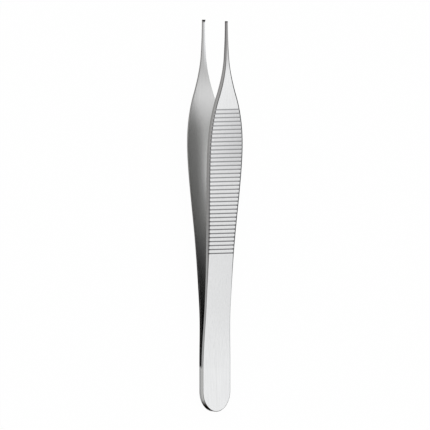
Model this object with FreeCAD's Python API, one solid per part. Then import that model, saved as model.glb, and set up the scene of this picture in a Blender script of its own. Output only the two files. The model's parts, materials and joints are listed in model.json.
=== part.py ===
import FreeCAD, Part

import math
import os

from FreeCAD import Vector

# Thumb forceps: two spring blades welded at the butt, with a grooved thumb grip and toothed fine tips.
# Each blade is drawn with X across its width, Y along its length from the butt end and Z out from the
# mid-plane between the blades. The pair is then turned to lie at rest on the lower blade. Lengths in mm.

# Lengths along the blade
overall_length = 120.0
pad_length = 13.4
butt_round_length = 6.4
neck_at = 32.0
shoulder_length = 17.5
taper_length = 12.0
tip_length = 11.0

# Widths
butt_width = 9.6
neck_width = 8.6
mid_width = 10.0
grip_width = 11.95
shoulder_width = 6.75
shank_width = 1.5
tip_width = 0.7

# How fast the width changes at three of those places, in mm of width per mm of length
mid_flare = 0.094
shoulder_flare = -0.67
shank_flare = -0.14

# Thicknesses
pad_thickness = 1.25
grip_thickness = 1.4
tip_thickness = 0.8

# Space between the blades
weld_relief = 0.2
root_slope = 0.02
tip_opening = 14.35
root_bend_length = 18.6
front_bend_length = 33.0
parallel_length = 15.0

# Edges of the outer face
crown_radius = 120.0
butt_bevel = 0.16
grip_bevel = 0.62
tip_bevel = 0.16
bevel_angle = 47.0
bevel_growth_length = 22.0

# Thumb grooves
grooved_length = 44.2
groove_pitch = 1.2275
groove_width = 0.42
groove_floor = 0.1
groove_depth = 0.2
groove_margin = 4.0

# Teeth
tooth_height = 0.5
tooth_length = 0.75
tooth_crest = 0.08
tooth_share = 0.5
tooth_clearance = 0.03
tip_chamfer = 0.3

# How far cutting solids reach past the blade, and how far apart its sections are drawn
overrun = 1.0
section_step = 2.5

# Places along the blade that follow from the lengths
shank_at = overall_length - tip_length
shoulder_at = shank_at - taper_length
grip_at = shoulder_at - shoulder_length
mid_at = (neck_at + grip_at) / 2
root_bend_end = pad_length + root_bend_length
front_bend_end = overall_length - parallel_length
front_bend_start = front_bend_end - front_bend_length
neck_thickness = pad_thickness - weld_relief

# Heights above the mid-plane at the tips
tip_inner = tip_opening / 2
tip_outer = tip_inner + tip_thickness
crest_height = tip_inner - tooth_height
tooth_root = (tip_inner + tip_outer) / 2


def hermite(curve, y):
    """Value and slope at y of a smooth curve through (place, value, slope) points, level past both ends."""
    first, last = curve[0], curve[-1]
    if y <= first[0]:
        return first[1], 0.0
    if y >= last[0]:
        return last[1], 0.0
    start, end = next(pair for pair in zip(curve, curve[1:]) if y <= pair[1][0])
    span = end[0] - start[0]
    t = (y - start[0]) / span
    rise = end[1] - start[1]
    value = (start[1] + rise * t * t * (3 - 2 * t)
             + span * start[2] * t * (1 - t) ** 2
             - span * end[2] * t * t * (1 - t))
    slope = (6 * rise / span * t * (1 - t)
             + start[2] * (1 - t) * (1 - 3 * t)
             + end[2] * t * (3 * t - 2))
    return value, slope


def half_width(y):
    """Half of the blade's width in plan, without the round of the butt."""
    outline = [
        (pad_length, butt_width, 0.0),
        (neck_at, neck_width, 0.0),
        (mid_at, mid_width, mid_flare),
        (grip_at, grip_width, 0.0),
        (shoulder_at, shoulder_width, shoulder_flare),
        (shank_at, shank_width, shank_flare),
        (overall_length, tip_width, 0.0),
    ]
    return hermite(outline, y)[0] / 2


def inner_curve():
    """The inner face in side view: a bend off the weld, a straight arm, a bend back to parallel tips."""
    straight_length = front_bend_start - root_bend_end
    risen_at_root = weld_relief + root_slope * root_bend_length / 2
    slope = (tip_inner - risen_at_root) / (root_bend_length / 2 + straight_length + front_bend_length / 2)
    root_rise = risen_at_root + slope * root_bend_length / 2
    arm_rise = root_rise + slope * straight_length
    return [
        (pad_length, weld_relief, root_slope),
        (root_bend_end, root_rise, slope),
        (front_bend_start, arm_rise, slope),
        (front_bend_end, tip_inner, 0.0),
        (overall_length, tip_inner, 0.0),
    ]


def thickness_curve():
    """Blade thickness along the middle of the face."""
    return [
        (neck_at, neck_thickness, 0.0),
        (grip_at, grip_thickness, 0.0),
        (shoulder_at, grip_thickness, 0.0),
        (overall_length - tooth_length, tip_thickness, 0.0),
    ]


def bevel_width(y):
    """Width in plan of the bevel along both edges of the outer face."""
    curve = [
        (mid_at - bevel_growth_length, butt_bevel, 0.0),
        (mid_at, grip_bevel, 0.0),
        (shoulder_at, grip_bevel, 0.0),
        (overall_length - tooth_length, tip_bevel, 0.0),
    ]
    return hermite(curve, y)[0]


def outer_height(y):
    """Height and slope of the outer face, in the middle of the blade, above the mid-plane."""
    inner, inner_slope = hermite(inner_curve(), y)
    thickness, thickness_slope = hermite(thickness_curve(), y)
    return inner + thickness, inner_slope + thickness_slope


def crown_drop(x, y):
    """How far the outer face lies below its middle line at x: flat at the butt, crowned from the neck on."""
    crown = hermite([(pad_length, 0.0, 0.0), (mid_at - bevel_growth_length, 1.0, 0.0)], y)[0]
    return crown * x ** 2 / (2 * crown_radius)


def polygon(points):
    return Part.makePolygon(points + points[:1])


def half_section(y):
    """Right half of the blade's section at y: foot past the mid-plane, side, bevel and top of the crown."""
    side = half_width(y)
    top = outer_height(y)[0]
    face = side - bevel_width(y)
    face_height = top - crown_drop(face, y)
    side_height = face_height - bevel_width(y) * math.tan(math.radians(bevel_angle))
    return [
        Vector(side, y, -overrun),
        Vector(side, y, side_height),
        Vector(face, y, face_height),
        Vector(0, y, top),
    ]


def mirrored(points):
    return [Vector(-p.x, p.y, p.z) for p in reversed(points)]


def section(y):
    """Closed outline of the blade's section at y, with its crown."""
    right = half_section(y)
    top = right.pop()
    left = mirrored(right)
    crown = Part.BezierCurve()
    crown.setPoles([right[-1], Vector(0, y, 2 * top.z - right[-1].z), left[0]])
    foot = Part.LineSegment(left[-1], right[0]).toShape()
    return Part.Wire(Part.makePolygon(right).Edges + [crown.toShape()]
                     + Part.makePolygon(left).Edges + [foot])


def blade_blank():
    """The blade without its inner face: a flat block at the butt, then a loft that runs past the tip."""
    corner_points = half_section(pad_length)[:-1]
    pad = Part.Face(polygon(corner_points + mirrored(corner_points)))
    block = pad.extrude(Vector(0, -pad_length - overrun, 0))
    length = overall_length + overrun - pad_length
    count = round(length / section_step)
    places = [pad_length + length * i / count for i in range(count + 1)]
    return block.fuse(Part.makeLoft([section(y) for y in places], True))


def gap_between_blades():
    """The space on this blade's side of the mid-plane, from the weld to past the tips."""
    curve = inner_curve()
    reach = overall_length + 2 * overrun
    edges = []
    for start, end in zip(curve, curve[1:]):
        third = (end[0] - start[0]) / 3
        bend = Part.BezierCurve()
        bend.setPoles([
            Vector(0, start[0], start[1]),
            Vector(0, start[0] + third, start[1] + start[2] * third),
            Vector(0, end[0] - third, end[1] - end[2] * third),
            Vector(0, end[0], end[1]),
        ])
        edges.append(bend.toShape())
    rest = Part.makePolygon([
        Vector(0, overall_length, tip_inner),
        Vector(0, reach, tip_inner),
        Vector(0, reach, -2 * overrun),
        Vector(0, -2 * overrun, -2 * overrun),
        Vector(0, -2 * overrun, 0),
        Vector(0, pad_length, 0),
        Vector(0, pad_length, weld_relief),
    ])
    side = Part.Face(Part.Wire(edges + rest.Edges))
    width = grip_width + 2 * overrun
    side.translate(Vector(-width / 2, 0, 0))
    return side.extrude(Vector(width, 0, 0))


def butt_plug():
    """A bevelled block with a half-elliptic end, which just holds the butt of the blade."""
    slack = butt_bevel / 8
    rise = butt_bevel / 2
    half = butt_width / 2 + slack
    top = pad_thickness + rise
    reach = butt_round_length + overrun
    round_pull = 4 / 3 * (math.sqrt(2) - 1)
    quarter = [
        Vector(half, butt_round_length, 0),
        Vector(half, butt_round_length * (1 - round_pull), 0),
        Vector(half * round_pull, 0, 0),
        Vector(0, 0, 0),
    ]
    right, left = Part.BezierCurve(), Part.BezierCurve()
    right.setPoles(quarter)
    left.setPoles(mirrored(quarter))
    back = Part.makePolygon([
        Vector(-half, butt_round_length, 0),
        Vector(-half, reach, 0),
        Vector(half, reach, 0),
        Vector(half, butt_round_length, 0),
    ])
    outline = Part.Wire([right.toShape(), left.toShape()] + back.Edges)
    plan = Part.Face(outline)
    plan.translate(Vector(0, 0, -2 * overrun))
    plug = plan.extrude(Vector(0, 0, 2 * overrun + top))
    rim = [e for e in plug.Edges if e.BoundBox.ZMin > top - slack and e.BoundBox.YMin < reach - slack]
    return plug.makeChamfer(butt_bevel + rise, rim)


def butt_trim():
    """What lies outside the round end of the butt."""
    width = grip_width + 2 * overrun
    block = Part.makeBox(width, butt_round_length + 2 * overrun + overrun / 2, 6 * overrun,
                         Vector(-width / 2, -2 * overrun, -3 * overrun))
    return block.cut(butt_plug())


def groove_cutters():
    """One curved bar for each thumb groove, as deep at the edges of the crowned face as in its middle."""
    count = round(grooved_length / groove_pitch) + 1
    last = shoulder_at - groove_margin
    sweep = math.degrees((grip_width + overrun) / crown_radius)
    mouth = groove_width - groove_floor / 2
    cutters = []
    for i in range(count):
        y = last - i * groove_pitch
        top, slope = outer_height(y)
        profile = Part.Face(polygon([
            Vector(0, -mouth, groove_depth),
            Vector(0, -groove_floor / 2, -groove_depth),
            Vector(0, groove_floor / 2, -groove_depth),
            Vector(0, mouth, groove_depth),
        ]))
        profile.rotate(Vector(0, 0, 0), Vector(1, 0, 0), math.degrees(math.atan(slope)))
        profile.translate(Vector(0, y, top))
        along = Vector(0, 1, slope)
        centre = Vector(0, y, top - crown_radius)
        profile.rotate(centre, along, -sweep / 2)
        cutters.append(profile.revolve(centre, along, sweep))
    return cutters


def tip_trim():
    """What lies past the blade's tip, with the chamfer of its outer corner."""
    reach = overall_length + 3 * overrun
    side = Part.Face(polygon([
        Vector(0, overall_length, 0),
        Vector(0, overall_length, tip_outer - tip_chamfer),
        Vector(0, overall_length - tip_chamfer - overrun, tip_outer + overrun),
        Vector(0, reach, tip_outer + overrun),
        Vector(0, reach, 0),
    ]))
    side.translate(Vector(-grip_width / 2, 0, 0))
    return side.extrude(Vector(grip_width, 0, 0))


def teeth(front_outline):
    """Teeth on the inner face at the tip: their outline seen from the front, cut to their side profile."""
    side = Part.Face(polygon([
        Vector(0, overall_length, tooth_root),
        Vector(0, overall_length, crest_height),
        Vector(0, overall_length - tooth_crest, crest_height),
        Vector(0, overall_length - tooth_length, tip_inner),
        Vector(0, overall_length - tooth_length, tooth_root),
    ]))
    side.translate(Vector(-tip_width, 0, 0))
    front = Part.Face(polygon([Vector(x, overall_length, z) for x, z in front_outline]))
    deep = front.extrude(Vector(0, -2 * tooth_length, 0))
    return side.extrude(Vector(2 * tip_width, 0, 0)).common(deep)


def single_tooth():
    """One pointed tooth in the middle of the tip."""
    foot = tip_width * tooth_share / 2
    return teeth([
        (-foot, tooth_root),
        (-foot, tip_inner),
        (-tooth_crest / 2, crest_height),
        (tooth_crest / 2, crest_height),
        (foot, tip_inner),
        (foot, tooth_root),
    ])


def paired_teeth():
    """Two teeth with a notch between them, which the single tooth closes into with a small clearance."""
    edge = tip_width / 2 - tooth_clearance
    mouth = tip_width * tooth_share / 2 + tooth_clearance
    valley = tooth_crest / 2 + tooth_clearance
    return teeth([
        (-edge, tooth_root),
        (-edge, crest_height),
        (-mouth, crest_height),
        (-valley, tip_inner),
        (valley, tip_inner),
        (mouth, crest_height),
        (edge, crest_height),
        (edge, tooth_root),
    ])


def blade(tip_teeth):
    """One blade with its outer face up."""
    body = blade_blank().cut(gap_between_blades())
    body = body.cut(butt_trim())
    body = body.cut(tip_trim())
    body = body.fuse(tip_teeth)
    return body.cut(groove_cutters())


def resting_angle():
    """Angle that lays the outer face on a level surface, touching at the butt and at the grip."""
    steps = range(int(pad_length), int(overall_length))
    return max(math.degrees(math.atan((outer_height(y)[0] - pad_thickness) / (y - butt_bevel)))
               for y in steps)


def corners(shape):
    """Lowest and highest corner of a solid, from its surface."""
    points = shape.tessellate(groove_depth / 10)[0]
    low = Vector(min(p.x for p in points), min(p.y for p in points), min(p.z for p in points))
    high = Vector(max(p.x for p in points), max(p.y for p in points), max(p.z for p in points))
    return low, high


def main():
    os.makedirs("parts", exist_ok=True)
    upper = blade(single_tooth())
    lower = blade(paired_teeth()).mirror(Vector(0, 0, 0), Vector(0, 0, 1))
    tilt = resting_angle()
    for shape in (upper, lower):
        shape.rotate(Vector(0, 0, 0), Vector(1, 0, 0), tilt)
    low, high = corners(Part.makeCompound([upper, lower]))
    for name, shape in (("upper_blade", upper), ("lower_blade", lower)):
        shape.translate(Vector(0, -(low.y + high.y) / 2, -low.z))
        shape.exportStep(f"parts/{name}.step")
        print(name, shape.isValid(), len(shape.Solids), round(shape.Volume, 1), shape.BoundBox)
    print("tilt", round(tilt, 3), "corners", low, high)


main()
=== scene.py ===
import json
import math
from types import SimpleNamespace

import bmesh
import bpy
from mathutils import Matrix, Vector


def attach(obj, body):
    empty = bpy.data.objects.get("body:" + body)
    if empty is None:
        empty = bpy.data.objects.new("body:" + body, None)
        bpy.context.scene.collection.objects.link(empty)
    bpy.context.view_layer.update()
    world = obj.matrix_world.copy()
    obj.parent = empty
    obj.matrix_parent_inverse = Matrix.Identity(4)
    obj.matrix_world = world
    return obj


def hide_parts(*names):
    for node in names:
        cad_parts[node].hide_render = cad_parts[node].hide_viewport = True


bl_info = {
    "name": "Thumb Forceps",
    "version": (1, 0, 0),
    "blender": (4, 5, 0),
    "location": "3D Viewport > Sidebar > Forceps",
    "description": "Thumb forceps of satin steel: two grooved spring blades, lying on a pale floor",
    "category": "Object",
}

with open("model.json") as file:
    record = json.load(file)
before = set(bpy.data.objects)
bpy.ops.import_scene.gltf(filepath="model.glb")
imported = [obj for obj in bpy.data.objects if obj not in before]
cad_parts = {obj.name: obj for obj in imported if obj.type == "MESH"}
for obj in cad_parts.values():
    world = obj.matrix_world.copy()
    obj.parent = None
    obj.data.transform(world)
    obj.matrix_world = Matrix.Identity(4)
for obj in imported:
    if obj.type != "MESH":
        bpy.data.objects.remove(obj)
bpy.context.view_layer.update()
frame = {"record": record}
butt_mount = next(m for m in frame["record"]["mounts"] if m["name"] == "butt_lower_face")

# Number of steps along each stretch of the blade's mesh, from the butt end to the tip. GROOVE_STEPS is for
# each groove, with half of the land on both sides of it.
ROUND_STEPS = 20
PAD_STEPS = 8
WELD_STEPS = 1
NECK_STEPS = 46
GROOVE_STEPS = 14
FRONT_STEPS = 56
TOOTH_STEPS = 10
CHAMFER_STEPS = 6
RIM_STEPS = 4

# Share of the steps of one groove that lie close together, and how many groove widths they cover
GROOVE_SHARE = 5 / 7
GROOVE_REACH = 1.3

# Length of the step of the inner face where the weld ends, and where it counts as passed, as shares of its
# height
WELD_STEP_LENGTH = 0.25
WELD_STEP_PASSED = 0.01

# Painted shade in a groove: how dark it is at its middle; it is darker on the butt's side and lighter on the
# tip's
GROOVE_SHADE = 0.72

# Section points, from the middle of the inner face to the middle of the outer face, as shares of each line
INNER_SHARES = (0, 0.125, 0.22, 0.38, 0.547, 0.64, 0.82, 0.95, 1)
CURL_DEGREES = (30, 60, 90)
SIDE_SHARES = (0.15, 0.5, 0.85, 1)
BEVEL_SHARES = (0.35, 0.7)
FACE_SHARES = (0.97, 0.9, 0.78, 0.64, 0.48, 0.32, 0.16, 0)
SIDE_ROUND_ROWS = 2
FACE_ROUND_ROWS = 3

# Middle point of the roundings between side and bevel and between bevel and face: how far it lies inwards and
# down from the sharp corner, as shares of the rounding's reach
SIDE_ROUND_MIDDLE = (0.3, 0.2)
FACE_ROUND_MIDDLE = (0.15, 0.3)

# Numbers of the section points with which the side, the bevel and the outer face begin, and of all of them
INNER_ROWS = len(INNER_SHARES) + len(CURL_DEGREES)
BEVEL_ROW = INNER_ROWS + len(SIDE_SHARES) + SIDE_ROUND_ROWS
FACE_ROW = BEVEL_ROW + len(BEVEL_SHARES) + FACE_ROUND_ROWS
ROWS = FACE_ROW + len(FACE_SHARES)

# How far the roundings may reach: on the inner edge as a share of the half width, on the others of the bevel
CURL_LIMIT = 0.1
SIDE_ROUND_LIMIT = 0.3
FACE_ROUND_LIMIT = 0.2

# Finish marks: how much the rounding of the inner edge belongs to the inner face, then of the edges the side,
# the foot of the bevel, to which the share of the way up it is added, and the line where it meets the face
CURL_MARK = 0.5
SIDE_MARK = 1
BEVEL_MARK = 1.65
LINE_MARK = 3

# Heights in the sky at which the light's strength is given, and how fast it changes there
LIGHT_HEIGHTS = (0, 0.35, 0.6, 0.85)
LIGHT_SLOPES = (0, 0, 0.5, 0)

# Name of the attribute that holds a point's place on the blade, and of the one that marks its finish, which
# also places the painted shade and highlights
PLACE = "blade_place"
FINISH = "blade_finish"

# Numbers of the sockets of a Mix node that mixes colours: factor, first and second colour, and result
MIX_INPUTS = (0, 6, 7)
MIX_OUTPUT = 2

WHITE = (1, 1, 1, 1)

# Distance from the butt end to the middle of the mount under it, and the gap that closes when the blade's
# halves are joined, in metres
MOUNT_FROM_BUTT = 0.007365
JOINING_GAP = 1e-6

MILLIMETRES_IN_METRE = 1000

# The blades by the node that each replaces: side is 1 above the mid-plane and -1 below it, paired is 1 for
# two teeth with a notch and 0 for one tooth
BLADES = {"upper_blade": {"side": 1, "paired": 0}, "lower_blade": {"side": -1, "paired": 1}}
BLADE_INPUTS = ("side", "paired")


def length(name, description, millimetres):
    """A size in metres, given here in millimetres."""
    return bpy.props.FloatProperty(name=name, description=description, precision=5, unit="LENGTH",
                                   default=millimetres / MILLIMETRES_IN_METRE)


def number(name, description, value):
    return bpy.props.FloatProperty(name=name, description=description, default=value, precision=4)


def angle(name, description, degrees):
    return bpy.props.FloatProperty(name=name, description=description, default=math.radians(degrees),
                                   unit="ROTATION")


def colour(name, description, value):
    return bpy.props.FloatVectorProperty(name=name, description=description, default=value, size=3,
                                         min=0, max=1, subtype="COLOR")


class BladeSizes(bpy.types.PropertyGroup):
    """Sizes of one blade. Apart from the teeth both blades are alike."""
    overall_length: length("Length", "From the butt end to the tip", 120)
    pad_length: length("Pad length", "Flat length welded to the other blade", 13.4)
    butt_round_length: length("Butt round", "Length of the half-elliptic butt end", 6.4)
    neck_at: length("Neck at", "Place of the narrowest stretch", 32)
    shoulder_length: length("Shoulder length", "From the widest place of the grip to the shoulder", 17.5)
    taper_length: length("Taper length", "From the shoulder to the shank", 12)
    tip_length: length("Tip length", "Slender stretch at the end", 11)
    butt_width: length("Butt width", "Width of the welded pad", 9.6)
    neck_width: length("Neck width", "Width at the neck", 8.6)
    mid_width: length("Middle width", "Width halfway between neck and grip", 10)
    grip_width: length("Grip width", "Width at the widest place", 11.95)
    shoulder_width: length("Shoulder width", "Width at the shoulder", 6.75)
    shank_width: length("Shank width", "Width where the tip begins", 1.5)
    tip_width: length("Tip width", "Width at the end", 0.7)
    mid_flare: number("Middle flare", "Change of width per length, halfway between neck and grip", 0.094)
    shoulder_flare: number("Shoulder flare", "Change of width per length at the shoulder", -0.67)
    shank_flare: number("Shank flare", "Change of width per length at the shank", -0.14)
    pad_thickness: length("Pad thickness", "Thickness at the butt", 1.25)
    grip_thickness: length("Grip thickness", "Thickness at the grip", 1.4)
    tip_thickness: length("Tip thickness", "Thickness at the end", 0.8)
    weld_relief: length("Weld relief", "Step of the inner face where the weld ends", 0.2)
    root_slope: number("Root slope", "Slope of the inner face where the weld ends", 0.02)
    tip_opening: length("Tip opening", "Space between the two tips", 14.35)
    root_bend_length: length("Root bend", "Length of the bend off the weld", 18.6)
    front_bend_length: length("Front bend", "Length of the bend back to parallel", 33)
    parallel_length: length("Parallel length", "Length at the tip that is parallel to the other blade", 15)
    crown_radius: length("Crown radius", "Radius of the crowned outer face", 120)
    butt_bevel: length("Butt bevel", "Width of the bevel round the butt", 0.16)
    grip_bevel: length("Grip bevel", "Width of the bevel along the grip", 0.62)
    tip_bevel: length("Tip bevel", "Width of the bevel at the tip", 0.16)
    bevel_angle: angle("Bevel angle", "Slope of the bevel below the face", 47)
    bevel_growth_length: length("Bevel growth", "Length over which the bevel widens", 22)
    groove_count: number("Groove count", "Number of thumb grooves", 37)
    groove_pitch: length("Groove pitch", "From one groove to the next", 1.2275)
    groove_width: length("Groove width", "Width of a groove at the face", 0.42)
    groove_depth: length("Groove depth", "Depth of a groove", 0.2)
    groove_floor: length("Groove floor", "Width of a groove at its bottom", 0.1)
    groove_margin: length("Groove margin", "From the last groove to the shoulder", 4)
    groove_lip: length("Groove lip", "Rounding of the groove's edges", 0.06)
    tooth_height: length("Tooth height", "How far a tooth stands out", 0.5)
    tooth_length: length("Tooth length", "Length of a tooth along the blade", 0.75)
    tooth_crest: length("Tooth crest", "Width of a tooth's crest", 0.08)
    tooth_share: number("Tooth share", "Share of the tip's width that the single tooth takes", 0.5)
    tooth_clearance: length("Tooth clearance", "Room between the tooth and its notch", 0.03)
    tip_chamfer: length("Tip chamfer", "Chamfer of the outer corner of the end", 0.3)
    inner_round: length("Inner rounding", "Radius of the edges of the inner face", 0.09)
    side_round: length("Side rounding", "Radius between side and bevel", 0.1)
    face_round: length("Face rounding", "Radius between bevel and outer face", 0.06)
    end_round: length("End rounding", "Radius of the rim of the end", 0.03)


class SteelLook(bpy.types.PropertyGroup):
    """Colours and finish of the steel; many colours are painted shade, and some are painted highlights."""
    face_colour: colour("Face", "Polished outer face", (0.79, 0.795, 0.8))
    # Painted shade on the lands near the shoulder
    grip_colour: colour("Dull lands", "Duller lands between the upper grooves", (0.555, 0.555, 0.565))
    # Painted shade on the outer face of the tip
    tip_colour: colour("Tip", "Outer face of the tip", (0.4, 0.39, 0.39))
    # Painted shade, nearly black, on the teeth and the last of the tip
    tooth_colour: colour("Teeth", "Hardened teeth and end", (0.02, 0.02, 0.02))
    # Satin inner face, its darkness partly painted shade between the blades
    inner_colour: colour("Inner face", "Satin inner face", (0.4, 0.4, 0.395))
    # Painted highlight on the inner face where it bends, also used for the painted highlight in the middle of
    # the lower blade's inner face
    bend_colour: colour("Inner bend", "Inner face where it bends, rubbed brighter", (0.61, 0.61, 0.61))
    # Painted highlight on the right of the tip's inner face
    shine_colour: colour("Tip shine", "Right of the tip's inner face, rubbed brightest", (0.9, 0.91, 0.94))
    # Painted shade on the inner face deep between the blades
    deep_colour: colour("Deep face", "Inner face deep between the blades", (0.3, 0.3, 0.3))
    # Ground sides, darkened by painted shade
    side_colour: colour("Sides", "Ground sides", (0.33, 0.325, 0.32))
    # Painted shade on the sides of the upper blade's tip
    tip_side_colour: colour("Tip sides", "Sides of the upper blade's tip", (0.17, 0.165, 0.165))
    # Painted light on the sides at the neck and the butt
    neck_side_colour: colour("Neck sides", "Sides of the neck and the butt", (0.42, 0.42, 0.42))
    # Painted light on the upper blade's sides at the weld
    pad_side_colour: colour("Pad sides", "Upper blade's sides at the weld", (0.58, 0.58, 0.57))
    # Painted shade, near black, on the lower blade's sides past the weld and at the ends of the grooves near
    # the neck
    shade_colour: colour("Stained sides", "Lower blade's sides past the weld", (0.01, 0.007, 0.006))
    # Painted shade at the left of the butt's end
    end_colour: colour("Stained end", "Left of the butt's end", (0.03, 0.022, 0.018))
    # Ground bevels, darkened by painted shade
    bevel_colour: colour("Bevels", "Ground bevels", (0.41, 0.405, 0.4))
    # Painted shade: the dark line where bevel and face meet, and the right bevel
    line_colour: colour("Bevel line", "Line where bevel and face meet, and right bevel", (0.02, 0.018, 0.018))
    # Painted shade in the grooves near the neck
    groove_colour: colour("Grooves", "Grooves near the neck", (0.055, 0.05, 0.06))
    # Lighter painted shade in the grooves near the shoulder
    light_groove_colour: colour("Light grooves", "Grooves near the shoulder", (0.43, 0.43, 0.44))
    scratch_colour: colour("Scratches", "Fine scratches along the blade", (0.12, 0.12, 0.12))
    scratch_level: number("Scratch level", "Height of the grain above which a scratch shows", 0.4)
    scratch_contrast: number("Scratch contrast", "How far the scratches show", 0.3)
    edge_tint: colour("Edge tint", "Reflection at a grazing angle", (0.25, 0.25, 0.25))
    roughness: number("Roughness", "Roughness of the polished face", 0.24)
    grain_roughness: number("Grain roughness", "How far the roughness swings along the scratches", 0.08)
    smudge_roughness: number("Smudge roughness", "How far the roughness swings between smudges", 0.06)
    grain_depth: length("Grain depth", "Height of the fine lengthwise scratches", 0.0015)
    grain_width: length("Grain width", "Spacing of the scratches", 0.11)
    grain_length: length("Grain length", "Length of the scratches", 6.2)
    smudge_width: length("Smudge width", "Width of the smudges", 2)
    smudge_length: length("Smudge length", "Length of the smudges", 16)
    grain_detail: number("Grain detail", "Finer layers in the scratches", 2)
    smudge_detail: number("Smudge detail", "Finer layers in the smudges", 1)


class FinishPlaces(bpy.types.PropertyGroup):
    """Where each tone begins and ends, as a length from a place on the blade."""
    # Where the painted shade on the lands near the shoulder begins and is full, and how it grows to the right
    dull_start: length("Dull start", "From where the lands get duller to the last groove", 24)
    dull_full: length("Dull full", "From the dullest land to the last groove", 12)
    dull_middle: number("Dull middle", "How dull the lands are in the middle of the face", 0.4)
    dull_across: number("Dull across", "How much duller they get across the width", 0.5)
    # Where the tip's painted shade, and the painted highlight on its inner face, begin and are full
    tip_start: length("Tip start", "From where the tip gets darker to the end", 17)
    tip_full: length("Tip full", "From where the tip is darkest to the end", 6)
    # Where the painted shade on the teeth and the last of the tip begins and is darkest
    end_start: length("End start", "From where the hardened end begins to the end", 0.45)
    end_full: length("End full", "From where the hardened end is darkest to the end", 0.15)
    # Where the painted highlight on the inner face at its bend begins, is brightest and fades
    rubbed_start: length("Rubbed start", "From where the inner face gets brighter to the shoulder", 11.5)
    rubbed_full: length("Rubbed full", "From where it is brightest to the parallel stretch", 8)
    rubbed_end: length("Rubbed end", "From the start of the parallel stretch to where that has faded", 2)
    # Where across the tip the painted highlight on its inner face begins
    shine_from: number("Shine from", "Share of the tip's width at which its inner face begins to shine", 0.3)
    rubbed_left: number("Rubbed rest", "How bright the inner face stays at the tip", 0.25)
    # Where the painted shade deep between the blades begins to fade and is gone
    deep_start: length("Deep start", "From the neck to where the inner face gets lighter", 8)
    deep_end: length("Deep end", "From the first groove to where it is satin", 14)
    # Painted highlight in the middle of the lower blade's inner face
    worn_start: length("Worn start", "From the first groove to where the inner face is worn in the middle", 4)
    worn_full: length("Worn full", "From the first groove to where it is most worn", 21)
    worn_end: length("Worn end", "From where the worn middle ends to the shoulder", 11)
    worn_width: length("Worn width", "Width of the fade on both sides of the worn middle", 2.5)
    worn_core: number("Worn core", "1 plus the share of that width that is fully worn on each side", 1.3)
    # Where the painted light on the sides at the neck and at the weld fades
    neck_end: length("Neck end", "From the first groove to where the sides are darkest", 12)
    pad_end: length("Pad end", "From the weld's end to where the upper sides are as at the neck", 1)
    # Where the painted shade on the lower blade's sides begins, is darkest, and ends
    stain_start: length("Stain start", "From the weld's end to where the lower sides get darker", 0.1)
    stain_full: length("Stain full", "From the weld's end to where they are darkest", 0.9)
    stain_neck: number("Stain at neck", "How dark they are at the neck", 0.97)
    stain_end: length("Stain end", "From where they are as the upper ones to the tip", 20)
    # Where the painted shade at the left of the butt's end is full and ends, and how fast it fades across
    butt_full: length("Butt full", "Length of the stained end of the butt", 1.6)
    butt_end: length("Butt end", "Length at which the stain ends", 4.2)
    butt_across: number("Butt across", "How fast the stain fades over the butt's width", 2)
    # Where the painted shade at the ends of the grooves near the neck is full and ends
    notch_full: length("Notch full", "From the first groove to the last one with dark ends", 8)
    notch_end: length("Notch end", "From the first groove to the first one without them", 14)


class StageLook(bpy.types.PropertyGroup):
    """Floor, light and camera."""
    floor_colour: colour("Floor colour", "Pale floor", (0.9, 0.9, 0.9))
    floor_size: length("Floor size", "Side of the square floor", 3000)
    turn: angle("Turn", "How far to the left of the blades' faces the camera stands", 28)
    rise: angle("Rise", "How far towards the tips the camera stands", 3.2)
    lens: length("Lens", "Focal length", 800)
    sensor: length("Sensor", "Width of the sensor", 36)
    view_width: length("View width", "Width of the picture at the forceps", 131.75)
    aim_from_butt: length("Aim", "From the butt end to the place that the camera aims at", 60.37)
    aim_across: length("Aim across", "How far to the right of it the camera aims", 0.06)
    clip_end: length("Clip end", "How far the camera sees", 20000)
    floor_glow: number("Floor glow", "How evenly white the floor is seen", 0.97)
    light_lean: number("Light lean", "How much higher a direction towards the tips counts for the light", 0.7)
    light_floor: number("Light below", "Strength of the light at and below the horizon", 0.6)
    light_low: number("Light low", "Strength of the light low over the floor", 0.88)
    light_middle: number("Light middle", "Strength of the light halfway up", 0.95)
    light_top: number("Light top", "Strength of the light overhead", 1.1)


class Term:
    """A node's output that can be used in an expression. Each operator adds a Math node."""

    def __init__(self, maker, node, socket):
        self.maker = maker
        self.node = node
        self.socket = socket

    def output(self, name):
        return Term(self.maker, self.node, self.node.outputs[name])

    def __add__(self, other):
        return self.maker.math("ADD", self, other)

    __radd__ = __add__

    def __mul__(self, other):
        return self.maker.math("MULTIPLY", self, other)

    __rmul__ = __mul__

    def __sub__(self, other):
        return self.maker.math("SUBTRACT", self, other)

    def __rsub__(self, other):
        return self.maker.math("SUBTRACT", other, self)

    def __truediv__(self, other):
        return self.maker.math("DIVIDE", self, other)

    def __neg__(self):
        return self.maker.math("MULTIPLY", self, -1.0)

    def __abs__(self):
        return self.maker.math("ABSOLUTE", self)

    def __lt__(self, other):
        return self.maker.math("LESS_THAN", self, other)

    def __gt__(self, other):
        return self.maker.math("GREATER_THAN", self, other)

    def floor(self):
        return self.maker.math("FLOOR", self)

    def clamped(self):
        return self.maker.node("ShaderNodeClamp", {}, {"Value": self})


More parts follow.
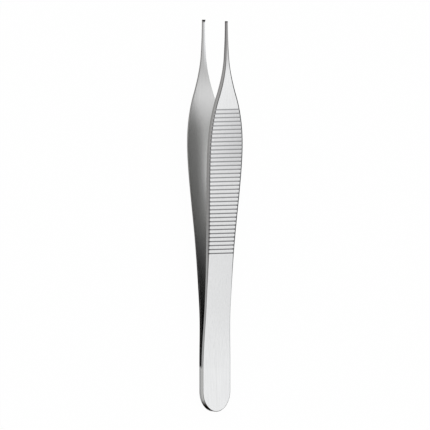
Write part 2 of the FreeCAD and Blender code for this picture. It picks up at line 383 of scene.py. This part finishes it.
class Maker:
    """Adds nodes to a tree, from left to right."""

    def __init__(self, tree):
        self.tree = tree

    def node(self, kind, settings, sockets):
        """One node: its settings first, then the value or link of each socket by name or number."""
        made = self.tree.nodes.new(kind)
        for key, value in settings.items():
            setattr(made, key, value)
        for key, value in sockets.items():
            self.feed(made.inputs[key], value)
        shown = next((o for o in made.outputs if o.enabled), None)
        return Term(self, made, shown)

    def feed(self, socket, value):
        if isinstance(value, Term):
            self.tree.links.new(value.socket, socket)
        elif isinstance(value, list):
            for part in value:
                self.feed(socket, part)
        else:
            socket.default_value = value

    def math(self, operation, *values):
        return self.node("ShaderNodeMath", {"operation": operation}, dict(enumerate(values)))

    def vector(self, x, y, z):
        return self.node("ShaderNodeCombineXYZ", {}, {"X": x, "Y": y, "Z": z})

    def split(self, vector):
        """The vector's three parts."""
        parts = self.node("ShaderNodeSeparateXYZ", {}, {"Vector": vector})
        return [parts.output(axis) for axis in "XYZ"]

    def attribute(self, name):
        return self.node("ShaderNodeAttribute", {"attribute_name": name}, {}).output("Vector")

    def pick(self, index, values):
        """The value whose number in the list is the index."""
        made = self.tree.nodes.new("GeometryNodeIndexSwitch")
        made.data_type = "FLOAT"
        while len(made.index_switch_items) < len(values):
            made.index_switch_items.new()
        self.feed(made.inputs["Index"], index)
        for place, value in enumerate(values):
            self.feed(made.inputs[place + 1], value)
        return Term(self, made, made.outputs[0])

    def blend(self, factor, first, second):
        """Colour from the first to the second as the factor goes from 0 to 1."""
        sockets = dict(zip(MIX_INPUTS, (factor, first, second)))
        made = self.node("ShaderNodeMix", {"data_type": "RGBA"}, sockets)
        return made.output(MIX_OUTPUT)

    def smooth_curve(self, y, points):
        """Smooth curve through (place, value, slope) points, level past both ends."""
        total = points[0][1]
        for (start, low, leaving), (end, high, arriving) in zip(points, points[1:]):
            span = end - start
            t = ((y - start) / span).clamped()
            left = 1 - t
            total = total + (high - low) * (t * t * (3 - 2 * t))
            if leaving != 0:
                total = total + span * leaving * (t * left * left)
            if arriving != 0:
                total = total - span * arriving * (t * t * left)
        return total

    def rise(self, y, start, end):
        """0 up to the start, 1 from the end on."""
        return self.smooth_curve(y, [(start, 0, 0), (end, 1, 0)])

    def fall(self, y, start, end):
        """1 up to the start, 0 from the end on."""
        return self.smooth_curve(y, [(start, 1, 0), (end, 0, 0)])


def cleared(owner):
    """A maker for the emptied node tree of a material or a world."""
    owner.use_nodes = True
    owner.node_tree.nodes.clear()
    return Maker(owner.node_tree)


def places(sizes):
    """Places along the blade that follow from its sizes, which are numbers or terms."""
    found = SimpleNamespace()
    found.shank_at = sizes.overall_length - sizes.tip_length
    found.shoulder_at = found.shank_at - sizes.taper_length
    found.grip_at = found.shoulder_at - sizes.shoulder_length
    found.mid_at = (sizes.neck_at + found.grip_at) / 2
    found.tooth_at = sizes.overall_length - sizes.tooth_length
    found.bevel_from = found.mid_at - sizes.bevel_growth_length
    found.front_end = sizes.overall_length - sizes.parallel_length
    found.last_groove = found.shoulder_at - sizes.groove_margin
    found.first_groove = found.last_groove - (sizes.groove_count - 1) * sizes.groove_pitch
    return found


class Blade:
    """The blade's surface as a Geometry Nodes tree: half of it is drawn as stations along the blade, each
    with a row of section points from the middle of the inner face to the middle of the outer face."""

    def __init__(self):
        self.tree = bpy.data.node_groups.new("Blade surface", "GeometryNodeTree")
        self.maker = Maker(self.tree)
        self.tree.interface.new_socket("Geometry", in_out="OUTPUT", socket_type="NodeSocketGeometry")
        self.names = {}
        for key in (*BladeSizes.__annotations__, *BLADE_INPUTS):
            socket = self.tree.interface.new_socket(key, in_out="INPUT", socket_type="NodeSocketFloat")
            self.names[key] = socket.identifier
        socket = self.tree.interface.new_socket("steel", in_out="INPUT", socket_type="NodeSocketMaterial")
        self.steel_name = socket.identifier
        source = self.tree.nodes.new("NodeGroupInput")
        for key in (*self.names, "steel"):
            setattr(self, key, Term(self.maker, source, source.outputs[key]))
        vars(self).update(vars(places(self)))
        self.tip_inner = self.tip_opening / 2
        self.tip_outer = self.tip_inner + self.tip_thickness
        self.assemble()

    def stretches(self):
        """Each stretch of stations as its number of steps, its length and the rule that spreads them."""
        sliver = self.weld_relief * WELD_STEP_LENGTH
        grooves_from = self.first_groove - self.groove_pitch / 2
        grooves_to = self.last_groove + self.groove_pitch / 2
        return [
            (ROUND_STEPS, self.butt_round_length, self.rounded),
            (PAD_STEPS, self.pad_length - self.butt_round_length, self.even),
            (WELD_STEPS, sliver, self.even),
            (NECK_STEPS, grooves_from - self.pad_length - sliver, self.even),
            (self.groove_count * GROOVE_STEPS, grooves_to - grooves_from, self.grooved),
            (FRONT_STEPS, self.tooth_at - grooves_to, self.even),
            (TOOTH_STEPS, self.tooth_length - self.tip_chamfer, self.even),
            (CHAMFER_STEPS, self.tip_chamfer - self.end_round, self.even),
            (RIM_STEPS, self.end_round, self.rim),
        ]

    def even(self, share):
        return share

    def rounded(self, share):
        """Evenly round the elliptic end."""
        return 1 - self.maker.math("COSINE", share * (math.pi / 2))

    def rim(self, share):
        """Evenly round the quarter circle of the end's rim."""
        return self.maker.math("SINE", share * (math.pi / 2))

    def grooved(self, share):
        """Close together in and beside each groove, far apart on the land between two."""
        pitches = share * self.groove_count
        whole = pitches.floor()
        swing = 2 * (pitches - whole) - 1
        reach = abs(swing)
        near = self.groove_width / self.groove_pitch * (GROOVE_REACH / 2)
        in_groove = reach * near / GROOVE_SHARE
        on_land = 0.5 - (1 - reach) * (0.5 - near) / (1 - GROOVE_SHARE)
        offset = self.maker.math("SIGN", swing) * self.maker.math("MAXIMUM", in_groove, on_land)
        return (whole + 0.5 + offset) / self.groove_count

    def lay_stations(self, station):
        """Place along the blade of each station, how many there are, and how far the last ones shrink. There
        is one more than there are steps, and one that closes the end."""
        place = 0.0
        first = 0
        for steps, stretch, rule in self.stretches():
            share = ((station - first) / steps).clamped()
            place = place + stretch * rule(share)
            first = first + steps
        turn = ((station - first + RIM_STEPS) / RIM_STEPS).clamped() * (math.pi / 2)
        inset = self.end_round * (1 - self.maker.math("COSINE", turn))
        shrink = 1 - inset / (self.tip_width / 2)
        return place, first + 2, shrink * (station < first + 0.5)

    def outline(self, y):
        """Half width in plan and the inward direction across the outline at the round end."""
        half = self.maker.smooth_curve(y, [
            (self.pad_length, self.butt_width, 0),
            (self.neck_at, self.neck_width, 0),
            (self.mid_at, self.mid_width, self.mid_flare),
            (self.grip_at, self.grip_width, 0),
            (self.shoulder_at, self.shoulder_width, self.shoulder_flare),
            (self.shank_at, self.shank_width, self.shank_flare),
            (self.overall_length, self.tip_width, 0),
        ]) / 2
        cosine = (1 - y / self.butt_round_length).clamped()
        sine = self.maker.math("SQRT", 1 - cosine * cosine)
        inward_x = self.butt_round_length * sine
        inward_y = self.butt_width / 2 * cosine
        size = self.maker.math("SQRT", inward_x * inward_x + inward_y * inward_y)
        return half * sine, -inward_x / size, inward_y / size

    def inner_height(self, y):
        """The inner face in side view: a bend off the weld, a straight arm, a bend back to parallel tips. It
        is given without the weld, and then with it, where it lies on the mid-plane."""
        front_start = self.front_end - self.front_bend_length
        root_end = self.pad_length + self.root_bend_length
        straight = front_start - root_end
        risen = self.weld_relief + self.root_slope * self.root_bend_length / 2
        run = self.root_bend_length / 2 + straight + self.front_bend_length / 2
        slope = (self.tip_inner - risen) / run
        root_rise = risen + slope * self.root_bend_length / 2
        curve = self.maker.smooth_curve(y, [
            (self.pad_length, self.weld_relief, self.root_slope),
            (root_end, root_rise, slope),
            (front_start, root_rise + slope * straight, slope),
            (self.front_end, self.tip_inner, 0),
        ])
        return curve, curve * (y > self.pad_length + self.weld_relief * WELD_STEP_PASSED)

    def thickness(self, y):
        return self.maker.smooth_curve(y, [
            (self.neck_at, self.pad_thickness - self.weld_relief, 0),
            (self.grip_at, self.grip_thickness, 0),
            (self.shoulder_at, self.grip_thickness, 0),
            (self.tooth_at, self.tip_thickness, 0),
        ])

    def bevel_width(self, y):
        return self.maker.smooth_curve(y, [
            (self.bevel_from, self.butt_bevel, 0),
            (self.mid_at, self.grip_bevel, 0),
            (self.shoulder_at, self.grip_bevel, 0),
            (self.tooth_at, self.tip_bevel, 0),
        ])

    def crown_drop(self, x, y):
        crown = self.maker.smooth_curve(y, [(self.pad_length, 0, 0), (self.bevel_from, 1, 0)])
        return crown * x * x / (2 * self.crown_radius)

    def groove_cut(self, y):
        """Depth of the grooves, with flat bottoms, straight walls and rounded lips, and how dark their
        painted shade is.
        """
        nearest = self.maker.math("ROUND", (y - self.first_groove) / self.groove_pitch)
        nearest = self.maker.math("MAXIMUM", nearest, 0)
        nearest = self.maker.math("MINIMUM", nearest, self.groove_count - 1)
        beyond = y - self.first_groove - nearest * self.groove_pitch
        away = abs(beyond)
        run = (self.groove_width - self.groove_floor) / 2
        wall = (self.groove_width / 2 - away) * self.groove_depth / run
        cut = self.maker.math("SMOOTH_MIN", wall, self.groove_depth, self.groove_lip)
        cut = self.maker.math("SMOOTH_MAX", cut, 0, self.groove_lip)
        return cut * (away < self.groove_width), (GROOVE_SHADE - beyond / self.groove_width).clamped()

    def tooth(self, x, y):
        """How far the teeth stand out of the inner face."""
        along = (y - self.tooth_at) / (self.tooth_length - self.tooth_crest)
        foot = self.tip_width * self.tooth_share / 2
        one = (foot - abs(x)) / (foot - self.tooth_crest / 2)
        valley = self.tooth_crest / 2 + self.tooth_clearance
        two = (abs(x) - valley) / (foot + self.tooth_clearance - valley)
        across = one + (two - one) * self.paired
        return self.tooth_height * self.maker.math("MINIMUM", along, across).clamped()

    def section(self, ring, y):
        """Each section point's place, and its marks: how much it belongs to the inner face (2 on a tooth), to
        the side, the bevel or its upper line, and to a groove (up to 2 at the groove's ends). A row is the
        offset inwards from the outline, the share of what is left of the half width, the height and the first
        two marks."""
        inner, seated = self.inner_height(y)
        half, inward_x, inward_y = self.outline(y)
        top = inner + self.thickness(y)
        bevel = self.bevel_width(y)
        slope = self.maker.math("TANGENT", self.bevel_angle)
        cosine = self.maker.math("COSINE", self.bevel_angle)
        sine = self.maker.math("SINE", self.bevel_angle)
        curl = self.maker.math("MINIMUM", self.inner_round, half * CURL_LIMIT)
        face_edge = top - self.crown_drop(half - bevel, y)
        side_top = face_edge - bevel * slope
        side_tangent = self.side_round * self.maker.math("TANGENT", (math.pi / 2 - self.bevel_angle) / 2)
        side_tangent = self.maker.math("MINIMUM", side_tangent, bevel * SIDE_ROUND_LIMIT)
        face_tangent = self.face_round * self.maker.math("TANGENT", self.bevel_angle / 2)
        face_tangent = self.maker.math("MINIMUM", face_tangent, bevel * FACE_ROUND_LIMIT)
        rows = []
        for share in INNER_SHARES:
            rows.append((curl, share, seated, 1, 0))
        for degrees in CURL_DEGREES:
            turn = math.radians(degrees)
            lifted = seated + curl * (1 - math.cos(turn))
            rows.append((curl * (1 - math.sin(turn)), 1, lifted, CURL_MARK, SIDE_MARK))
        low = seated + curl
        high = side_top - side_tangent
        for share in SIDE_SHARES:
            rows.append((0, 1, low + (high - low) * share, 0, SIDE_MARK))
        across, down = SIDE_ROUND_MIDDLE
        rows.append((side_tangent * cosine * across, 1, side_top - side_tangent * down, 0, SIDE_MARK))
        rows.append((side_tangent * cosine, 1, side_top + side_tangent * sine, 0, SIDE_MARK))
        for share in BEVEL_SHARES:
            rows.append((bevel * share, 1, side_top + bevel * slope * share, 0, BEVEL_MARK + share))
        across, down = FACE_ROUND_MIDDLE
        rows.append((bevel - face_tangent * cosine, 1, face_edge - face_tangent * sine, 0, LINE_MARK))
        rows.append((bevel + face_tangent * across, 1, face_edge - face_tangent * down, 0, LINE_MARK))
        rows.append((bevel + face_tangent, 1, face_edge, 0, 0))
        for share in FACE_SHARES:
            rows.append((bevel + face_tangent, share, top, 0, 0))
        assert len(rows) == ROWS
        offset, share, height, inside, edge = (self.maker.pick(ring, column) for column in zip(*rows))
        x = share * (half + inward_x * offset)
        along = y + inward_y * offset
        crowned = top - self.crown_drop(x, y)
        height = height + (crowned - height) * (ring > FACE_ROW - 0.5)
        cut, dark = self.groove_cut(y)
        height = self.maker.math("MINIMUM", height, crowned - cut)
        on_inner = ring < INNER_ROWS - 0.5
        tooth = self.tooth(x, y)
        height = height - tooth * on_inner
        inside = inside + (tooth > 0) * on_inner
        chamfer = self.tip_outer - self.tip_chamfer + self.overall_length - y
        height = self.maker.math("MINIMUM", height, chamfer)
        groove = cut / self.groove_depth * dark * (ring > BEVEL_ROW + 0.5) * (1 + (ring < FACE_ROW + 0.5))
        return x, along, height, inside, edge, groove

    def assemble(self):
        """The grid of stations and section points, closed, mirrored and joined."""
        make = self.maker
        index = make.node("GeometryNodeInputIndex", {}, {})
        station = (index / ROWS).floor()
        ring = index - station * ROWS
        place, count, shrink = self.lay_stations(station)
        x, y, height, inside, edge, groove = self.section(ring, place)
        grid = self.tree.nodes.new("GeometryNodeMeshGrid")
        make.feed(grid.inputs["Vertices X"], count)
        make.feed(grid.inputs["Vertices Y"], ROWS)
        half = Term(make, grid, grid.outputs["Mesh"])
        half = self.mark(half, FINISH, make.vector(inside, edge, groove))
        middle = (self.tip_inner + self.tip_outer - self.tip_chamfer) / 2
        height = middle + (height - middle) * shrink
        position = make.vector(x * shrink, y, height * self.side)
        half = make.node("GeometryNodeSetPosition", {}, {"Geometry": half, "Position": position})
        other = make.node("GeometryNodeTransform", {}, {"Geometry": half, "Scale": (-1, 1, 1)})
        whole = make.node("GeometryNodeJoinGeometry", {}, {"Geometry": [half, other]})
        whole = make.node("GeometryNodeMergeByDistance", {}, {"Geometry": whole, "Distance": JOINING_GAP})
        whole = self.mark(whole, PLACE, make.node("GeometryNodeInputPosition", {}, {}))
        whole = make.node("GeometryNodeSetShadeSmooth", {}, {"Geometry": whole})
        whole = make.node("GeometryNodeRealizeInstances", {}, {"Geometry": whole})
        whole = make.node("GeometryNodeSetMaterial", {}, {"Geometry": whole, "Material": self.steel})
        out = self.tree.nodes.new("NodeGroupOutput")
        self.tree.links.new(whole.socket, out.inputs[0])

    def mark(self, geometry, name, value):
        """The geometry with the vector stored on its points."""
        settings = {"data_type": "FLOAT_VECTOR", "domain": "POINT"}
        sockets = {"Geometry": geometry, "Name": name, "Value": value}
        return self.maker.node("GeometryNodeStoreNamedAttribute", settings, sockets)


def resting_lean():
    """Angle between the blades' mid-plane and the surface that they lie on."""
    return math.atan2(butt_mount["axis"][1], -butt_mount["axis"][2])


def resting_place(sizes):
    """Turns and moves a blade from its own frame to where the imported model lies."""
    seat = Matrix.Translation((0, -MOUNT_FROM_BUTT, sizes.pad_thickness))
    return Matrix.Translation(butt_mount["pos_m"]) @ Matrix.Rotation(resting_lean(), 4, "X") @ seat


class Steel:
    """Satin steel: its tone follows the finish of each face and its place along the blade, with painted shade
    and painted highlights.
    """

    def __init__(self, scene):
        self.sizes = scene.blade_sizes
        self.look = scene.steel_look
        self.at = scene.finish_places
        vars(self).update(vars(places(self.sizes)))
        self.tip_at = self.sizes.overall_length
        self.material = bpy.data.materials.new("satin_steel")
        make = self.make = cleared(self.material)
        self.place = make.attribute(PLACE)
        self.x, self.y, height = make.split(self.place)
        self.inside, self.edge, self.groove = make.split(make.attribute(FINISH))
        self.below = height < 0
        # How far a point lies to the right; the right bevel's painted shade and the tip's painted highlight
        # grow with it
        self.right = (0.5 + self.x / self.sizes.tip_width).clamped()
        # Where the tip's painted shade and the painted highlight on its inner face come in
        self.at_tip = make.rise(self.y, self.tip_at - self.at.tip_start, self.tip_at - self.at.tip_full)
        base = make.blend(self.inside.clamped(), self.outer_face(), self.inner_face())
        base = make.blend(self.edge.clamped(), base, self.side())
        base = self.grooves(base)
        self.polish(self.hardened_end(base))

    def tone(self, name):
        return (*getattr(self.look, name), 1)

    def outer_face(self):
        """Polished, with painted shade on the lands near the shoulder, darker towards the right, and a tip
        darkened by painted shade.
        """
        make, y, at, sizes = self.make, self.y, self.at, self.sizes
        shaded = make.rise(y, self.last_groove - at.dull_start, self.last_groove - at.dull_full)
        shaded = shaded * (y < self.last_groove + sizes.groove_width / 2)
        shaded = shaded * (at.dull_middle + at.dull_across / sizes.grip_width * self.x).clamped()
        face = make.blend(shaded, self.tone("face_colour"), self.tone("grip_colour"))
        # Painted shade darkens the outer face towards the tip
        return make.blend(self.at_tip, face, self.tone("tip_colour"))

    def inner_face(self):
        """Satin, its darkness partly painted shade between the blades, with painted highlights where it
        bends, in the middle of the lower blade's face and on the right of the tip, and painted shade deep
        between the blades.
        """
        make, y, at = self.make, self.y, self.at
        # Painted highlight on the inner face where it bends
        lit = make.smooth_curve(y, [
            (self.shoulder_at - at.rubbed_start, 0, 0),
            (self.front_end - at.rubbed_full, 1, 0),
            (self.front_end + at.rubbed_end, at.rubbed_left, 0),
        ])
        inner = make.blend(lit, self.tone("inner_colour"), self.tone("bend_colour"))
        # Painted shade deep between the blades
        deep = make.fall(y, self.sizes.neck_at + at.deep_start, self.first_groove + at.deep_end)
        inner = make.blend(deep, inner, self.tone("deep_colour"))
        # Painted highlight in the middle of the lower blade's inner face
        brightened = make.smooth_curve(y, [
            (self.first_groove + at.worn_start, 0, 0),
            (self.first_groove + at.worn_full, 1, 0),
            (self.shoulder_at - at.worn_end, 0, 0),
        ])
        brightened = brightened * self.below * (at.worn_core - abs(self.x) / at.worn_width).clamped()
        inner = make.blend(brightened, inner, self.tone("bend_colour"))
        # Painted highlight on the right of the tip's inner face
        shine = self.at_tip * (self.right - at.shine_from).clamped()
        return make.blend(shine, inner, self.tone("shine_colour"))

    def side(self):
        """Ground sides and bevels, darkened by painted shade: lighter with painted light at neck and weld,
        darker with painted shade at the upper blade's tip, on the right bevel and along the line where bevel
        and face meet, and near black on the lower blade and at the butt.
        """
        make, y, at, sizes = self.make, self.y, self.at, self.sizes
        above = 1 - self.below
        # Painted light on the sides at the neck
        at_neck = make.fall(y, self.first_groove, self.first_groove + at.neck_end)
        side = make.blend(at_neck, self.tone("side_colour"), self.tone("neck_side_colour"))
        # Painted shade darkens the upper blade's sides towards the tip
        side = make.blend(self.at_tip * above, side, self.tone("tip_side_colour"))
        # Painted light on the upper blade's sides at the weld
        at_pad = make.fall(y, sizes.pad_length, sizes.pad_length + at.pad_end)
        side = make.blend(at_pad * above, side, self.tone("pad_side_colour"))
        # Painted shade, near black, on the lower blade's sides past the weld
        darkened = make.smooth_curve(y, [
            (sizes.pad_length + at.stain_start, 0, 0),
            (sizes.pad_length + at.stain_full, 1, 0),
            (sizes.neck_at, at.stain_neck, 0),
            (self.tip_at - at.stain_end, 0, 0),
        ])
        side = make.blend(darkened * self.below, side, self.tone("shade_colour"))
        # Painted shade: the right bevel darkens to the dark line's tone
        bevel = make.blend(self.right, self.tone("bevel_colour"), self.tone("line_colour"))
        side = make.blend((self.edge - 1).clamped(), side, bevel)
        # Painted shade: the dark line where bevel and face meet
        side = make.blend((self.edge - 2).clamped(), side, self.tone("line_colour"))
        # Painted shade at the left of the butt's end
        butt = make.fall(y, at.butt_full, at.butt_end)
        butt = butt * (0.5 - at.butt_across / sizes.butt_width * self.x).clamped()
        return make.blend(butt, side, self.tone("end_colour"))

    def grooves(self, base):
        """Painted shade in the grooves: dark near the neck, where their ends are darkest, and light near the
        shoulder.
        """
        make, y, at = self.make, self.y, self.at
        near_shoulder = make.rise(y, self.first_groove, self.last_groove)
        cut = make.blend(near_shoulder, self.tone("groove_colour"), self.tone("light_groove_colour"))
        base = make.blend(self.groove.clamped(), base, cut)
        # Painted shade, near black, at the ends of the grooves near the neck
        notched = make.fall(y, self.first_groove + at.notch_full, self.first_groove + at.notch_end)
        return make.blend(notched * (self.groove - 1).clamped(), base, self.tone("shade_colour"))

    def hardened_end(self, base):
        """Painted shade, nearly black, on the teeth and the last of the tip."""
        shadowed = self.make.rise(self.y, self.tip_at - self.at.end_start, self.tip_at - self.at.end_full)
        shadowed = ((self.inside - 1).clamped() + shadowed).clamped()
        return self.make.blend(shadowed, base, self.tone("tooth_colour"))

    def streaks(self, across, along, detail):
        """Noise that is drawn out along the blade."""
        stretched = self.make.node("ShaderNodeMapping", {}, {
            "Vector": self.place, "Scale": (1 / across, 1 / along, 1 / across)})
        sockets = {"Vector": stretched, "Scale": 1.0, "Detail": detail}
        return self.make.node("ShaderNodeTexNoise", {}, sockets).output(0)

    def polish(self, base):
        """Fine scratches and wide smudges over the tones, and the shader."""
        make, look = self.make, self.look
        grain = self.streaks(look.grain_width, look.grain_length, look.grain_detail)
        smudge = self.streaks(look.smudge_width, look.smudge_length, look.smudge_detail)
        scratched = (look.scratch_contrast * (grain - look.scratch_level)).clamped()
        base = make.blend(scratched, base, self.tone("scratch_colour"))
        swing = look.grain_roughness * (grain - 0.5) + look.smudge_roughness * (smudge - 0.5)
        normal = make.node("ShaderNodeBump", {}, {"Height": grain, "Distance": look.grain_depth})
        shader = make.node("ShaderNodeBsdfPrincipled", {}, {
            "Base Color": base, "Metallic": 1.0, "Roughness": look.roughness + swing, "Normal": normal,
            "Specular Tint": self.tone("edge_tint")})
        make.node("ShaderNodeOutputMaterial", {}, {"Surface": shader})


class ForcepsBlades(bpy.types.Operator):
    """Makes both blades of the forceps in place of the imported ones"""
    bl_idname = "forceps.blades"
    bl_label = "Blades"

    def execute(self, context):
        scene = context.scene
        surface = Blade()
        steel = Steel(scene).material
        for node, kind in BLADES.items():
            values = {key: getattr(scene.blade_sizes, key) for key in BladeSizes.__annotations__}
            mesh = self.evaluate(context, surface, {**values, **kind}, steel)
            mesh.transform(resting_place(scene.blade_sizes))
            self.turn_outwards(mesh)
            mesh.name = node + "_steel"
            blade = bpy.data.objects.new(node + "_steel", mesh)
            scene.collection.objects.link(blade)
            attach(blade, "root")
            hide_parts(node)
        return {"FINISHED"}

    def evaluate(self, context, surface, values, steel):
        """The surface as a plain mesh, for these values of its inputs."""
        start = bpy.data.objects.new("start", bpy.data.meshes.new("start"))
        context.scene.collection.objects.link(start)
        modifier = start.modifiers.new("surface", "NODES")
        modifier.node_group = surface.tree
        for key, identifier in surface.names.items():
            modifier[identifier] = float(values[key])
        modifier[surface.steel_name] = steel
        graph = context.evaluated_depsgraph_get()
        mesh = bpy.data.meshes.new_from_object(start.evaluated_get(graph), depsgraph=graph)
        bpy.data.objects.remove(start)
        return mesh

    def turn_outwards(self, mesh):
        """Makes every face look out of the blade."""
        shell = bmesh.new()
        shell.from_mesh(mesh)
        bmesh.ops.recalc_face_normals(shell, faces=shell.faces)
        shell.to_mesh(mesh)
        shell.free()


class ForcepsStage(bpy.types.Operator):
    """Makes the floor, the light and the camera"""
    bl_idname = "forceps.stage"
    bl_label = "Stage"

    def execute(self, context):
        scene = context.scene
        look = scene.stage_look
        floor_mesh = bpy.data.meshes.new("floor")
        reach = look.floor_size / 2
        corners = [(-reach, -reach, 0), (reach, -reach, 0), (reach, reach, 0), (-reach, reach, 0)]
        floor_mesh.from_pydata(corners, [], [range(len(corners))])
        floor = bpy.data.objects.new("floor", floor_mesh)
        scene.collection.objects.link(floor)
        floor_mesh.materials.append(self.floor_material(look))
        self.world(scene, look)
        self.camera(scene, look)
        scene.view_settings.view_transform = "Standard"
        return {"FINISHED"}

    def floor_material(self, look):
        """Matt, and plain white where the camera sees it or the steel mirrors it."""
        material = bpy.data.materials.new("pale_floor")
        make = cleared(material)
        rays = make.node("ShaderNodeLightPath", {}, {})
        seen = (rays.output("Is Camera Ray") + rays.output("Is Glossy Ray")
                + rays.output("Is Transmission Ray")).clamped()
        matt = make.node("ShaderNodeBsdfDiffuse", {}, {"Color": (*look.floor_colour, 1)})
        glow = make.node("ShaderNodeEmission", {}, {"Color": WHITE, "Strength": 1.0})
        mixed = make.node("ShaderNodeMixShader", {}, {0: seen * look.floor_glow, 1: matt, 2: glow})
        make.node("ShaderNodeOutputMaterial", {}, {"Surface": mixed})
        return material

    def world(self, scene, look):
        """Even light from above, stronger overhead and from the tips' side."""
        scene.world = bpy.data.worlds.new("studio")
        make = cleared(scene.world)
        _, y, z = make.split(make.node("ShaderNodeTexCoord", {}, {}).output("Generated"))
        levels = (look.light_floor, look.light_low, look.light_middle, look.light_top)
        strength = make.smooth_curve(z + look.light_lean * y, list(zip(LIGHT_HEIGHTS, levels, LIGHT_SLOPES)))
        light = make.node("ShaderNodeBackground", {}, {"Color": WHITE, "Strength": strength})
        make.node("ShaderNodeOutputWorld", {}, {"Surface": light})

    def camera(self, scene, look):
        """Stands far off to the left of the blades' faces, with the tips up in the picture."""
        lean = resting_lean()
        along = Vector((0, math.cos(lean), math.sin(lean)))
        outward = Vector((0, -math.sin(lean), math.cos(lean)))
        across = Vector((1, 0, 0))
        back = math.cos(look.rise) * (math.cos(look.turn) * outward - math.sin(look.turn) * across)
        back += math.sin(look.rise) * along
        right = along.cross(back).normalized()
        up = back.cross(right)
        place = resting_place(scene.blade_sizes)
        target = place @ Vector((0, look.aim_from_butt, 0)) + right * look.aim_across
        distance = look.view_width * look.lens / look.sensor
        data = bpy.data.cameras.new("camera")
        data.lens = look.lens * MILLIMETRES_IN_METRE
        data.sensor_width = look.sensor * MILLIMETRES_IN_METRE
        data.clip_end = look.clip_end
        camera = bpy.data.objects.new("camera", data)
        turned = Matrix((right, up, back)).transposed().to_4x4()
        camera.matrix_world = Matrix.Translation(target + back * distance) @ turned
        scene.collection.objects.link(camera)
        scene.camera = camera


class ForcepsPanel(bpy.types.Panel):
    """Lists the forceps' sizes and makers"""
    bl_idname = "VIEW3D_PT_forceps"
    bl_label = "Thumb forceps"
    bl_space_type = "VIEW_3D"
    bl_region_type = "UI"
    bl_category = "Forceps"

    def draw(self, context):
        layout = self.layout
        for maker in OPERATORS:
            layout.operator(maker.bl_idname)
        for name, group in GROUPS.items():
            box = layout.box()
            for key in group.__annotations__:
                box.prop(getattr(context.scene, name), key)


GROUPS = {"blade_sizes": BladeSizes, "steel_look": SteelLook, "finish_places": FinishPlaces,
          "stage_look": StageLook}
OPERATORS = (ForcepsBlades, ForcepsStage)


def register():
    for part in (*GROUPS.values(), *OPERATORS, ForcepsPanel):
        bpy.utils.register_class(part)
    for name, group in GROUPS.items():
        setattr(bpy.types.Scene, name, bpy.props.PointerProperty(type=group))


def unregister():
    for name in GROUPS:
        delattr(bpy.types.Scene, name)
    for part in (ForcepsPanel, *reversed(OPERATORS), *reversed(GROUPS.values())):
        bpy.utils.unregister_class(part)


def main():
    register()
    bpy.ops.forceps.blades()
    bpy.ops.forceps.stage()


if __name__ == "__main__":
    main()
